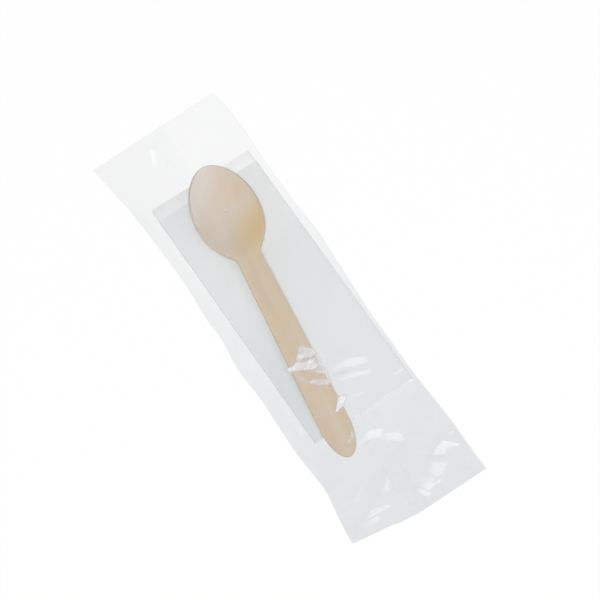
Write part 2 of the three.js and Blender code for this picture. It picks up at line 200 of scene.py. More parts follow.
class Tree:
    """A node tree under construction, for a material or for Geometry Nodes."""

    def __init__(self, node_tree):
        self.nodes = node_tree.nodes
        self.links = node_tree.links
        self.for_mesh = node_tree.bl_idname == "GeometryNodeTree"
        self.nodes.clear()

    def add(self, kind, settings=None, inputs=None, output=0):
        """Adds a node, sets it up, feeds its sockets and returns one of its outputs."""
        node = self.nodes.new(kind)
        for name, value in (settings or {}).items():
            setattr(node, name, value)
        for socket, value in (inputs or {}).items():
            if isinstance(value, Socket):
                value = [value]
            if isinstance(value, list):
                for source in value:
                    self.links.new(source.output, node.inputs[socket])
            else:
                node.inputs[socket].default_value = value
        return Socket(self, node.outputs[output]) if node.outputs else None

    def math(self, operation, left, right):
        """A number worked out from two others, or from the left one alone."""
        return self.add("ShaderNodeMath", {"operation": operation}, {0: left, 1: right})

    def parts(self, vector):
        """The x, y and z of a vector."""
        x = self.add("ShaderNodeSeparateXYZ", None, {0: vector}, "X")
        return x, x.sibling("Y"), x.sibling("Z")

    def ramp(self, value, low, high, first=0, last=1):
        """A smooth change from the first number at low to the last at high, held beyond them."""
        return self.add("ShaderNodeMapRange", {"interpolation_type": "SMOOTHSTEP"}, {
            "Value": value, "From Min": low, "From Max": high, "To Min": first, "To Max": last})

    def between(self, share, first, last):
        """A number between two others."""
        return share * (last - first) + first

    def blend(self, share, first, second):
        """A colour between two others."""
        return self.add("ShaderNodeMix", {"data_type": "RGBA"}, {0: share, 6: first, 7: second}, 2)

    def noise(self, vector, scale, detail, squeeze=None):
        """Soft noise, finer along an axis by as much as the squeeze says."""
        if squeeze:
            vector = self.add("ShaderNodeVectorMath", {"operation": "MULTIPLY"},
                              {0: vector, 1: squeeze})
        return self.add("ShaderNodeTexNoise", None,
                        {"Vector": vector, "Scale": scale, "Detail": detail})

    def attribute(self, name):
        """A number that the mesh holds at each of its points."""
        if self.for_mesh:
            return self.add("GeometryNodeInputNamedAttribute", {"data_type": "FLOAT"},
                            {"Name": name}, "Attribute")
        return self.add("ShaderNodeAttribute", {"attribute_name": name}, None, "Fac")

    def levelness(self):
        """1 where the surface lies level, and 0 where it stands upright."""
        normal = self.add("ShaderNodeNewGeometry", None, None, "Normal")
        return abs(self.parts(normal)[2])

    def bump(self, height, strength, depth):
        """A surface with fine relief."""
        return self.add("ShaderNodeBump", None,
                        {"Height": height, "Strength": strength, "Distance": depth})


def new_finish(name):
    """A new material, and its empty node tree."""
    material = bpy.data.materials.new(name)
    material.use_nodes = True
    return material, Tree(material.node_tree)


def finish_surface(tree, shader):
    """Makes the shader the material's surface."""
    tree.add("ShaderNodeOutputMaterial", None, {"Surface": shader})


def tissue_finish():
    """White dimpled paper, with painted shade by the handle, painted light by the bowl, and painted
    light and glow on the strip past the upper half and on its edges.
    """
    material, tree = new_finish("tissue_paper")
    flat = tree.add("ShaderNodeUVMap", {"uv_map": "flat"})
    fibres = tree.noise(flat, *TISSUE_FIBRES)
    clouds = tree.noise(flat, *TISSUE_CLOUDS)
    dimples = tree.add("ShaderNodeTexVoronoi", {"feature": "SMOOTH_F1"},
                       {"Vector": flat, "Scale": DIMPLE_SCALE, "Smoothness": DIMPLE_SOFTNESS})
    colour = tree.blend(fibres * 0.5 + clouds * 0.5, TISSUE_SHADE, TISSUE)
    across, along, _ = tree.parts(tree.add("ShaderNodeTexCoord", None, None, "Object"))
    # Painted shade beside the handle
    dim = tree.ramp(across, *DIM_ACROSS, 1, 0) * tree.ramp(along, *DIM_ALONG, 1, 0)
    colour = tree.blend(dim, colour, TISSUE_DIM)
    # Painted light beside the bowl
    lit = tree.ramp(along, *LIT_ALONG) * tree.ramp(across, *LIT_ACROSS, *LIT_SHARES)
    colour = tree.blend(lit, colour, TISSUE_LIT)
    _, along_sheet, _ = tree.parts(flat)
    # Painted light on the strip past the upper half
    thin = (along_sheet < HALF_STEP) * tree.ramp(across, *THIN_ACROSS, *THIN_SHARES)
    colour = tree.blend(thin, colour, TISSUE_THIN_LIT)
    # Painted light and a painted glow on the upright edges
    edge = tree.ramp(tree.levelness(), *EDGE_LEVELNESS, 1, 0)
    edge = edge * tree.ramp(across, *EDGE_ACROSS, *EDGE_SHARES)
    colour = tree.blend(edge, colour, TISSUE_THIN_LIT)
    glow = tree.blend(tree.math("MAXIMUM", edge, thin * THIN_GLOW), BLACK, TISSUE_THIN_LIT)
    relief = tree.bump(dimples * 0.7 + fibres * 0.3, *TISSUE_BUMP)
    shader = tree.add("ShaderNodeBsdfPrincipled", None, {
        "Base Color": colour, "Roughness": 0.95, "Specular IOR Level": 0.2, "Normal": relief,
        "Emission Color": glow, "Emission Strength": EDGE_GLOW,
    })
    finish_surface(tree, shader)
    return material


def folded_line(width):
    """The sheet's four layers across the folded napkin, as one line: across, then up."""
    first, second, third, fourth = (k * LAYER_PITCH for k in (0.5, 1.5, 2.5, 3.5))
    inner_bend, outer_bend = 0.5 * LAYER_PITCH, 1.5 * LAYER_PITCH
    right = width / 2 - outer_bend - PLY / 2
    left = -width / 2 + inner_bend + PLY / 2
    middle = (second + third) / 2
    return joined(
        straight((-width / 2, first), (right, first), TISSUE_CELL),
        turn((right, middle), outer_bend, -90, 90, TURN_STEPS),
        straight((right, fourth), (left, fourth), TISSUE_CELL),
        turn((left, (third + fourth) / 2), inner_bend, 90, 270, TURN_STEPS),
        straight((left, third), (right, third), TISSUE_CELL),
        turn((right, middle), inner_bend, 90, -90, TURN_STEPS),
        straight((right, second), (EDGE_STEP - width / 2, second), TISSUE_CELL),
    )


def swell(x, y):
    """Soft rise and fall of loose tissue, from -1 to 1."""
    waves = [np.sin(x / across + y / along + start) for across, along, start in SWELL_WAVES]
    return sum(waves) / len(waves)


napkin_low, napkin_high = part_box("paper_napkin")
folded_width = SHEET_WIDTH / 4
line = folded_line(folded_width)
stack = 4 * LAYER_PITCH
fold_level = stack + (LAYER_PITCH - PLY) / 2
lower_half = (SHEET_LENGTH + HALF_STEP) / 2
upper_half = (SHEET_LENGTH - HALF_STEP) / 2

# Rows down the sheet: how far each lies from the last fold, and how many degrees it has turned.
# The rows in the fold itself stay where they are and turn over.
quarter_turns = np.sin(np.linspace(-math.pi / 2, math.pi / 2, 2 * TURN_STEPS + 1))
length_line = joined(
    straight((lower_half, -90), (stack, -90), TISSUE_CELL),
    np.stack([np.full_like(quarter_turns, stack), 90 * quarter_turns], axis=1),
    straight((stack, 90), (upper_half, 90), TISSUE_CELL),
)
row_y, row_turn = length_line[:, 0, None], np.radians(length_line[:, 1, None])
radius = fold_level - line[None, :, 1]
napkin_x = np.broadcast_to(line[None, :, 0], (len(row_y), len(line)))
napkin_y = row_y - radius * np.cos(row_turn)
napkin_z = fold_level + radius * np.sin(row_turn)
napkin_z = napkin_z + SWELL * swell(napkin_x, napkin_y) * napkin_z / (2 * stack)
splay = np.interp(napkin_y, (0, lower_half), SPLAY)
napkin_x = napkin_x - splay * (0.5 - napkin_x / folded_width)
napkin_middle = (napkin_low.x + napkin_high.x) / 2
napkin_points = np.stack(
    [napkin_x + napkin_middle, napkin_y + napkin_low.y, napkin_z + napkin_low.z], axis=-1)

napkin = new_piece("tissue_napkin", napkin_points,
                   grid_faces(np.arange(napkin_x.size).reshape(napkin_x.shape)))
down_sheet = np.linspace(0, SHEET_LENGTH, len(row_y))[:, None]
set_uv(napkin, "flat", np.stack(np.broadcast_arrays(run_along(line)[None, :], down_sheet), axis=-1))
solid = napkin.modifiers.new("ply", "SOLIDIFY")
solid.thickness = PLY
solid.offset = 0
bake(napkin)
napkin.data.materials.append(tissue_finish())

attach(napkin, "root")
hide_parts("paper_napkin")


# Wooden spoon
# One piece of birch veneer, stamped out, pressed to a bowl between hot dies and tumbled so that
# its edges are broken. It lies loose on the napkin, with the bowl facing up.

SPOON_LENGTH = 158.8 * MM
VENEER = 1.7 * MM
BOWL_WIDTH = 33.5 * MM
BOWL_LENGTH = 50 * MM
BOWL_DEPTH = 5.5 * MM
BOWL_WIDEST = 26 * MM  # from the tip to the widest and deepest place
TIP_BLUNTNESS = 0.47  # share of the half width at which the outline leaves the tip
TIP_FULLNESS = 0.44  # share of the way from the widest place that stays full, to the tip
HEEL_FULLNESS = 0.5  # the same to the neck
NECK = (BOWL_LENGTH, 6.2 * MM)  # from the tip, and half the width
SHOULDER = (43.3 * MM, 11.9 * MM)
NECK_FILLET = 1 * MM
NECK_FADE = 1.6  # how gently the dish runs out into the neck
HANDLE_HALF = 7.5 * MM  # where the rounded end begins
HANDLE_ROUND = 16 * MM
END_FULLNESS = 0.4  # as at the tip, for the end of the handle
END_BLUNTNESS = 0.67
SPOON_TIP = (7.74 * MM, 80.78 * MM)  # where it lies, across and along the sachet
SPOON_TURN = math.radians(-7.7)
SPOON_PITCH = math.radians(2.66)
GRAIN_COLUMNS = 33
CURVE_STEPS = 40
FILLET_STEPS = 8
HANDLE_CELL = 1.5 * MM
WELD_GAP = 0.01 * MM
EDGE_BREAK = 0.35 * MM
BREAK_SEGMENTS = 3
BREAK_ANGLE = math.radians(50)  # edges that bend further than this are broken

BIRCH_PALE = (0.725, 0.622, 0.498, 1)
BIRCH = (0.69, 0.562, 0.418, 1)
BIRCH_LINE = (0.55, 0.40, 0.25, 1)
BIRCH_PINK = (0.815, 0.75, 0.695, 1)
BIRCH_WARM = (0.75, 0.575, 0.345, 1)
# Painted light on the upright cut edge, which would look dark
BIRCH_EDGE_LIT = (0.88, 0.76, 0.60, 1)

# The wood's noise, by its scale per metre, its detail and how it is squeezed along each axis,
# which draws it out along the grain, then the levels of it that show and how strongly
BIRCH_FIGURE = (120, 3.0, (1, 0.09, 1))
FIGURE_LEVELS = (0.3, 0.7)
BIRCH_FIBRES = (1500, 4.0, (1, 0.03, 1))
FIBRE_LEVELS = (0.45, 0.8)
FIBRE_SHARE = 0.18
BIRCH_PORES = (2600, 1.0, (1, 0.06, 1))
PORE_LEVELS = (0.66, 0.74)
PORE_SHARE = 0.2
BIRCH_BUMP = (0.25, 0.08 * MM)  # strength and depth
BIRCH_ROUGHNESS = (0.55, 0.7)

# Stretches across the spoon and from its tip over which the tints come and go, the shares at
# their two ends, and how far the borders of the pink and the warm tint lean and wander. The tints
# are partly the wood's own and partly painted light and shade in the bowl's hollow
# The pink by the tip: partly the wood's tint, partly painted light in the hollow
PINK_LEAN = 1.2
PINK_WANDER = 6 * MM
PINK_START = (-2 * MM, 16 * MM)
PINK_SHARES = (0.95, 0.42)
PINK_END = (34 * MM, 56 * MM)
# Painted shade on the steep wall inside the tip
TIP_END = (2 * MM, 16 * MM)
TIP_SHARE = 0.08
# The warm heel: partly the wood's tint, partly painted shade in the hollow
HEEL_LEAN = 0.6
HEEL_START = (27 * MM, 45 * MM)
HEEL_END = (0.85 * BOWL_LENGTH, 1.15 * BOWL_LENGTH)
HEEL_ACROSS = (-12 * MM, 10 * MM)
CUT_LEVELNESS = (0.25, 0.7)  # between the cut edge and the faces
CUT_SHARE = 0.7

# Warm flecks: across the spoon, from its tip, and how warm
FLECKS = ((10.5 * MM, 16.5 * MM, 0.45), (-1 * MM, 84 * MM, 0.4))
FLECK_REACH = 9 * MM


def bezier(*controls, steps=CURVE_STEPS):
    """Points on the curve that the control points draw."""
    t = np.linspace(0, 1, steps + 1)[:, None]
    order = len(controls) - 1
    return sum(math.comb(order, k) * (1 - t) ** (order - k) * t ** k * np.array(point)
               for k, point in enumerate(controls))


def spoon_half_outline():
    """Half of the outline: the distance from the tip, and half the width there."""
    half = BOWL_WIDTH / 2
    slope = np.array(SHOULDER) - NECK
    into_neck = np.array(NECK) + slope * (NECK_FILLET / np.linalg.norm(slope))
    out_of_neck = (NECK[0] + NECK_FILLET, NECK[1])
    widest = (BOWL_WIDEST, half)
    heel = BOWL_WIDEST + HEEL_FULLNESS * (BOWL_LENGTH - BOWL_WIDEST)
    round_start = SPOON_LENGTH - HANDLE_ROUND
    return joined(
        bezier((0, 0), (0, TIP_BLUNTNESS * half), (TIP_FULLNESS * BOWL_WIDEST, half), widest),
        bezier(widest, (heel, half), SHOULDER, into_neck),
        bezier(into_neck, NECK, out_of_neck, steps=FILLET_STEPS),
        straight(out_of_neck, (round_start, HANDLE_HALF), HANDLE_CELL),
        bezier((round_start, HANDLE_HALF), (round_start + END_FULLNESS * HANDLE_ROUND, HANDLE_HALF),
               (SPOON_LENGTH, END_BLUNTNESS * HANDLE_HALF), (SPOON_LENGTH, 0)),
    )


def bowl_dip(from_tip, share):
    """How far the press pushed the veneer down, at a share of the half width."""
    reach = np.where(from_tip > BOWL_WIDEST, BOWL_LENGTH - BOWL_WIDEST, BOWL_WIDEST)
    along = np.clip(1 - ((from_tip - BOWL_WIDEST) / reach) ** 2, 0, 1)
    fade = np.where(from_tip > BOWL_WIDEST, NECK_FADE, 1)
    return BOWL_DEPTH * (1 - share ** 2) * along ** fade


def birch_finish():
    """Fine-grained wood, pink by the tip and warm at the heel of the bowl, partly painted light and
    shade, with painted shade inside the tip and painted light on its cut edge.
    """
    material, tree = new_finish("birch_veneer")
    grain = tree.add("ShaderNodeUVMap", {"uv_map": "grain"})
    across, from_tip, _ = tree.parts(grain)
    figure = tree.noise(grain, *BIRCH_FIGURE)
    fibres = tree.noise(grain, *BIRCH_FIBRES)
    pores = tree.ramp(tree.noise(grain, *BIRCH_PORES), *PORE_LEVELS)
    colour = tree.blend(tree.ramp(figure, *FIGURE_LEVELS), BIRCH, BIRCH_PALE)
    colour = tree.blend(tree.ramp(fibres, *FIBRE_LEVELS, 0, FIBRE_SHARE), colour, BIRCH_LINE)
    # Pink by the tip: partly the wood's tint, partly painted light
    slant = across * PINK_LEAN + from_tip + (figure - 0.5) * PINK_WANDER
    pink = tree.ramp(slant, *PINK_START, *PINK_SHARES) * tree.ramp(from_tip, *PINK_END, 1, 0)
    colour = tree.blend(pink, colour, BIRCH_PINK)
    for fleck_across, fleck_along, warmth in FLECKS:
        away = tree.add("ShaderNodeVectorMath", {"operation": "DISTANCE"},
                        {0: grain, 1: (fleck_across, fleck_along, 0)}, "Value")
        colour = tree.blend(tree.ramp(away, 0, FLECK_REACH, warmth, 0), colour, BIRCH_WARM)
    # Painted shade inside the tip
    colour = tree.blend(tree.ramp(from_tip, *TIP_END, TIP_SHARE, 0), colour, BIRCH)
    # Warm, darker heel: partly the wood's tint, partly painted shade
    heel = tree.ramp(from_tip + across * HEEL_LEAN, *HEEL_START)
    heel = heel * tree.ramp(from_tip, *HEEL_END, 1, 0) * tree.ramp(across, *HEEL_ACROSS)
    colour = tree.blend(heel, colour, BIRCH_WARM)
    colour = tree.blend(pores * PORE_SHARE, colour, BIRCH_LINE)
    # Painted light on the upright cut edge
    cut_edge = tree.ramp(tree.levelness(), *CUT_LEVELNESS, CUT_SHARE, 0)
    colour = tree.blend(cut_edge, colour, BIRCH_EDGE_LIT)
    relief = tree.bump(fibres * 0.7 - pores * 0.3, *BIRCH_BUMP)
    shader = tree.add("ShaderNodeBsdfPrincipled", None, {
        "Base Color": colour, "Roughness": tree.between(fibres, *BIRCH_ROUGHNESS), "Normal": relief,
    })
    finish_surface(tree, shader)
    return material


# The middle of the veneer, drawn in at the rim so that its leaning edge ends on the outline
outline = spoon_half_outline()
shares = np.linspace(-1, 1, GRAIN_COLUMNS)[None, :]
from_tip, half = outline[:, 0, None], outline[:, 1, None]
lean = np.arctan2(2 * bowl_dip(from_tip, np.zeros(1)), np.maximum(half, VENEER))
spoon_x = shares * np.maximum(half - np.sin(lean) * VENEER / 2, 0)
spoon_y = np.broadcast_to(-from_tip, spoon_x.shape)
spoon_z = -bowl_dip(from_tip, shares) - VENEER / 2
spoon_points = np.stack([spoon_x, spoon_y, spoon_z], axis=-1)

spoon = new_piece("birch_spoon", spoon_points, grid_faces(
    np.arange(spoon_x.size).reshape(spoon_x.shape)[::-1]))
set_uv(spoon, "grain", np.stack(np.broadcast_arrays(spoon_x, from_tip), axis=-1))
weld = spoon.modifiers.new("closed_ends", "WELD")
weld.merge_threshold = WELD_GAP
solid = spoon.modifiers.new("veneer", "SOLIDIFY")
solid.thickness = VENEER
solid.offset = 0
edge = spoon.modifiers.new("broken_edge", "BEVEL")
edge.width = EDGE_BREAK
edge.segments = BREAK_SEGMENTS
edge.limit_method = "ANGLE"
edge.angle_limit = BREAK_ANGLE
bake(spoon)
_, spoon_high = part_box("wooden_spoon")
tip = Vector((*SPOON_TIP, spoon_high.z))
spoon.data.transform(Matrix.Translation(tip) @ Matrix.Rotation(SPOON_TURN, 4, "Z")
                     @ Matrix.Rotation(SPOON_PITCH, 4, "X"))
spoon.data.materials.append(birch_finish())

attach(spoon, "root")
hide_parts("wooden_spoon")


# Film sachet
# One web of clear plastic film, welded to a tube by a fin down the back, filled, and crimped
# shut and cut off with a zigzag knife at both ends. It is drawn tight over the spoon's bowl
# and creased across the handle. Its lengths are in millimetres until the mesh is made.

# The sachet's outline: side folds by places along and across it, cuts by places across and along
LEFT_FOLD = [(-112, -36.0), (-100, -34.6), (-86, -32.1), (-62, -33.8), (-30, -32.9),
             (-14, -34.1), (6, -31.7), (17, -32.7), (30, -31.4), (50, -31.3), (84, -32.9),
             (100, -34.6), (114, -36.5)]
RIGHT_FOLD = [(-116, 36.1), (-86, 36.0), (-60, 34.7), (-20, 34.8), (0, 36.0), (25, 37.4),
              (45, 36.4), (66, 36.1), (88, 37.2), (100, 37.1), (116, 35.5)]
FOLD_ROUNDING = 40  # rounds of smoothing
HANDLE_CUT = [(-36, -110.7), (-15.7, -113.8), (-12.5, -114.8), (-1.5, -116.1), (36, -116.5)]
BOWL_CUT = [(-36, 113.9), (-4.3, 115.0), (36, 116.0)]

FILM_LENGTH = 229
FILM = 0.05
SHEET_GAP = 2 * FILM  # between the upper sheet and the back where they meet
TABLE_GAP = 0.2  # the back lies this high, on its fin
CONTENT_ROOM = 0.3  # between the contents and the upper sheet
END_SEAL = 9
PRESS_RUN = (0.5 * END_SEAL, 1.2 * END_SEAL)  # from the cut, over which the press lets go
PRESS = 0.8  # share of the film's rise that the press takes away
PRESS_LOST = 0.6  # how much less of it in creases
WELD_RUN = (0.9 * END_SEAL, 1.1 * END_SEAL)  # from the cut, over which the weld ends
FIN_WIDTH = 9
FIN_LEVELS = (0.02, 0.12)  # of the fin's two layers
FIN_CELL = 1.5
FOLD_LIFT = 0.9
FOLD_RUN = 7  # over which the back rises to the side folds
LIFT_RUN = (END_SEAL, 4 * END_SEAL)  # from the cut, over which the side folds lift
GATHER_HEIGHT = 0.3
GATHER_REACH = 26
GATHER_MARGIN = (1, 8)  # from the side folds, over which the gathers begin
PLEAT_WIDTHS = (2.1, 1.3)  # of a radian of the wide pleats and of the fine ones
PLEAT_DRIFT = 7  # across the film for a radian of the wide pleats' uneven spacing
PLEAT_LEAN = 9  # along the film for a radian by which the fine pleats lean
SEAL_ROWS = 24
BODY_ROWS = 300
FILM_COLUMNS = 101
FEEL_HEIGHT = 1  # metres above the table, from where the contents are felt for
SETTLE_ROUNDS = 500
CALM_ROUNDS = 20  # the last of them, without overshoot
OVERSHOOT = 1.9  # times the way to its balance that each point moves, to settle sooner

# Creases over the wood, where the film has gone white, partly whitened film and partly a painted
# reflection: how white, how far it is turned to the lamp on the right, and the corners
CREASES = [
    (0.57, 0.1, [(-4.1, -19.6), (-2.8, -20.6), (-5.2, -25.9), (-8.2, -26.0), (-9.3, -24.2)]),
    (0.78, 0.1, [(-7.0, -22.4), (-1.8, -25.6), (-5.5, -25.7), (-9.3, -24.6)]),
    (0.42, 0.1, [(-9.5, -24.8), (-5.7, -25.9), (-0.7, -27.8), (-0.9, -29.4), (-6.1, -28.3),
                 (-10.0, -26.5)]),
    (0.72, 0.1, [(-3.0, -20.4), (-1.7, -21.5), (0.3, -24.6), (0.1, -27.6), (-5.4, -26.2)]),
    (0.76, 0.1, [(-15.0, -26.4), (-10.0, -25.4), (-6.5, -27.0), (-7.5, -31.6), (-13.8, -27.9)]),
    (0.78, 0.1, [(-7.0, -26.9), (-2.2, -28.2), (-1.9, -33.2), (-5.6, -32.8), (-7.7, -31.4)]),
    (0.60, 0.1, [(-2.4, -28.2), (-0.5, -28.8), (-0.3, -38.4), (-4.7, -35.1), (-5.8, -33.0),
                 (-2.3, -33.0)]),
    (0.95, 0.3, [(-15.6, -26.2), (-13.4, -25.6), (-13.2, -27.8), (-15.0, -28.1)]),
    (0.75, 0.1, [(-0.4, -23.6), (0.4, -24.0), (0.4, -28.4), (-1.4, -42.6), (-2.4, -42.6),
                 (-0.5, -28.4)]),
    (0.62, 0.1, [(-10.8, -36.8), (-8.2, -36.5), (-4.8, -38.2), (-1.5, -40.5), (-2.9, -43.2),
                 (-6.5, -41.0)]),
    (0.25, 0.1, [(-4.2, -36.7), (-0.9, -39.4), (-2.0, -41.4), (-5.2, -39.0)]),
    (0.30, 0.1, [(-14.0, -27.8), (-12.6, -29.5), (-9.9, -36.0), (-11.4, -37.1), (-13.2, -34.2)]),
    (0.85, 0.3, [(-8.2, -55.9), (-2.7, -50.0), (1.5, -51.4), (-2.7, -55.0)]),
    (0.18, 0.1, [(-15.8, -51.6), (-10.2, -51.9), (-10.2, -53.5), (-15.7, -53.3)]),
    (0.50, 0.2, [(-7.6, -67.0), (-6.2, -67.6), (-7.5, -70.5), (-8.9, -69.7)]),
    (0.30, 0.1, [(-8.4, -68.8), (-8.0, -70.6), (-12.1, -71.8), (-12.4, -70.2)]),
]

# Creases beside the wood, where the turned film mirrors the lamp: how much more than flat
# film does, how far it is turned, and the corners
GLINTS = [
    (0.00, 0.85, [(2.3, -36.0), (11.7, -36.7), (19.8, -39.8), (18.3, -44.3), (11.0, -41.8),
                  (2.7, -38.8)]),
    (0.00, 0.8, [(2.7, -42.3), (11.0, -43.5), (18.4, -46.6), (17.5, -49.6), (10.6, -47.0),
                 (3.2, -45.2)]),
    (0.00, 0.9, [(24.3, -54.2), (32.3, -54.3), (32.7, -56.5), (24.9, -56.4)]),
    (0.00, 0.9, [(3.0, -51.7), (8.3, -53.8), (8.2, -55.8), (2.8, -53.7)]),
    (0.03, 1.0, [(-6.4, -73.2), (-1.0, -70.9), (4.3, -72.4), (5.4, -74.2), (3.4, -77.4),
                 (-0.5, -75.2), (-5.6, -75.0)]),
    (0.01, 0.9, [(3.9, -74.8), (9.2, -77.8), (12.5, -83.9), (10.7, -84.1), (6.3, -80.3),
                 (2.6, -76.7)]),
    (0.02, 0.9, [(20.0, -95.6), (24.3, -94.1), (26.6, -96.3), (24.4, -100.2), (20.0, -97.9)]),
    (0.03, 0.9, [(25.8, -93.2), (33.1, -99.5), (32.1, -101.2), (25.1, -95.4)]),
    (0.00, 0.75, [(15.9, -98.3), (23.3, -103.9), (17.7, -107.2), (15.1, -107.0), (14.2, -103.1)]),
    (0.00, 0.7, [(6.3, -105.5), (6.5, -104.0), (10.4, -103.3), (10.3, -104.9)]),
    (0.00, 0.7, [(9.5, -103.7), (11.1, -103.9), (14.6, -109.1), (13.3, -110.1)]),
    (0.01, 0.9, [(0.3, -105.6), (5.7, -107.4), (9.5, -113.1), (4.1, -111.4)]),
    (0.02, 0.9, [(-31.0, -105.1), (-20.7, -102.4), (-10.5, -104.6), (-12.7, -106.3),
                 (-20.1, -106.0), (-27.2, -108.8), (-31.8, -107.7)]),
    (0.06, 0.9, [(-21.8, -102.4), (-18.9, -102.4), (-20.3, -105.6)]),
    (0.01, 0.9, [(-28.8, -107.9), (-19.1, -104.9), (-18.6, -107.5), (-24.3, -109.7)]),
    (0.00, 0.82, [(-16.0, -90.0), (-24.3, -93.8), (-23.8, -96.2), (-16.6, -92.2)]),
    (0.00, 0.8, [(-2.6, -91.6), (-7.7, -99.9), (-9.5, -98.9), (-4.6, -92.0)]),
    (0.04, 0.9, [(33.0, -91.4), (34.6, -93.4), (30.2, -94.9)]),
    (0.02, 1.0, [(-30.4, -56.8), (-25.2, -49.4), (-24.2, -54.8)]),
]
LIT_SLOPE = (-0.094, 0.403)  # across and along, when turned all the way
FACET_BOW = 0.06  # how much the slope changes from the middle of a facet to its corners
FACET_STIFFNESS = 25  # how many times stiffer than film a facet is
FACET_BORDER = 0.7  # over which a facet runs out

# Folds in the film, where it lies double, with painted shade in the fold: how grey it looks there,
# and the corners
DOUBLED_AND_SHADED = [
    (0.12, [(-7.6, -26.0), (-0.2, -27.8), (-0.4, -29.0), (-7.2, -26.8)]),
    (0.05, [(-4.8, -37.5), (-1.4, -39.0), (-1.6, -40.2), (-4.6, -38.5)]),
    (0.06, [(1.2, -39.4), (8.4, -41.8), (8.0, -43.0), (1.4, -40.5)]),
    (0.06, [(8.7, -90.9), (23.5, -100.3), (23.1, -101.5), (9.1, -91.9)]),
]

# Streaks where both sheets are painted clearer, so that the white table shows through as a painted
# highlight: how much, and the corners
CLEARED_GLINTS = [
    (0.05, [(-7.6, 106.8), (-6.2, 105.6), (-8.8, 98.8), (-10.0, 97.0), (-11.0, 98.2)]),
]

# Painted shade on each sheet, as grey haze, how much painted light takes off where it looks
# clearer, and the stretches across and along the sachet over which they come and go
UPPER_PAINTED_SHADE = 0.02
UPPER_SHADE_END = (-90, -20)
UPPER_PAINTED_LIGHT = 0.03
UPPER_LIGHT_START = (0, 60)
BACK_PAINTED_SHADE = 0.19
BACK_SHADE_END = (-100, 60)
SIDE_PAINTED_SHADE = 0.06
SIDE_ACROSS = (-36, -10)
SIDE_START = (-50, 20)
SIDE_END = (60, 120)
CORNER_PAINTED_LIGHT = 0.05
CORNER_ACROSS = (-14, 8)
CORNER_START = (20, 90)
FIN_HAZE = -0.062  # less than none: the fin clings to the back

RIB_PITCH = END_SEAL / 4  # four ribs across a seal
RIB_HEIGHT = 0.1
TOOTH_DEPTH = 0.5
TOOTH_REACH = 3  # times its depth, over which a tooth is drawn out of the film
VENTS = ((-0.3, 67.4), (4.5, 56.2))
VENT_RADIUS = 0.55
# How white the burrs round the vents are: partly whitened film, partly a painted highlight
VENT_WHITENESS = 0.8
BURR_SIDES = 10
BURR_TOP = 0.4  # shares of the vent's radius
BURR_HEIGHT = 0.3

FILM_GLOSS = 0.06  # share of the light that both faces of the film throw straight back
FILM_TINT = (0.994, 0.995, 0.997, 1)
FILM_FACE = (0.95, 0.96, 0.97, 1)
# The white of creased film, which also paints sheen and highlights
FILM_WHITENED_AND_SHEEN = (0.95, 0.94, 0.975, 1)
# The grey of hazy film, which also paints shade
FILM_GREY = (0.16, 0.24, 0.31, 1)
HAZE_RANGE = (0.75, 1.25)  # from clearer patches to hazier ones
MILK_RANGE = (0.45, 1.55)  # the same for white streaks
FILM_ROUGHNESS = (0.14, 0.26)
CLEAREST = 0.001  # share of the film that shows at the least
GLANCING_POWER = 5  # how late the film turns to a mirror as it is seen edge on

# The film's noise, by its scale per metre, its detail and how it is squeezed
FILM_PATCHES = (90, 2.0)
FILM_RIPPLE = (160, 2.0)
FILM_SCUFFS = (700, 4.0)
FILM_STREAKS = (260, 3.0, (1, 2.2, 1))
FILM_BUMP = (0.2, 0.15 * MM)  # strength and depth


def smoothed(values, rounds):
    """A row of numbers with its corners rounded off."""
    for _ in range(rounds):
        inner = (values[:-2] + 2 * values[1:-1] + values[2:]) / 4
        values = np.concatenate([values[:1], inner, values[-1:]])
    return values


def traced(points, at):
    """The line through some points, at given distances along it."""
    where, value = zip(*points)
    return np.interp(at, where, value)


def smoothstep(value, low, high):
    """A smooth change from 0 at low to 1 at high, held beyond them."""
    share = np.clip((value - low) / (high - low), 0, 1)
    return share * share * (3 - 2 * share)


def inside(corners, x, y):
    """How far points lie within an outline: 1 well inside, 0 well outside, soft at the border."""
    place = np.stack([x, y], axis=-1)
    ends = np.roll(corners, -1, axis=0)
    nearest = np.full(x.shape, np.inf)
    odd = np.zeros(x.shape, dtype=bool)
    for start, end in zip(np.array(corners), ends):
        way = end - start
        share = np.clip((place - start) @ way / (way @ way), 0, 1)
        away = np.linalg.norm(place - start - share[..., None] * way, axis=-1)
        nearest = np.minimum(nearest, away)
        crosses = (start[1] > y) != (end[1] > y)
        rising = np.sign(way[1])
        left_of = (x - start[0]) * way[1] * rising < (y - start[1]) * way[0] * rising
        odd ^= crosses & left_of
    return smoothstep(np.where(odd, nearest, -nearest), -FACET_BORDER / 2, FACET_BORDER / 2)


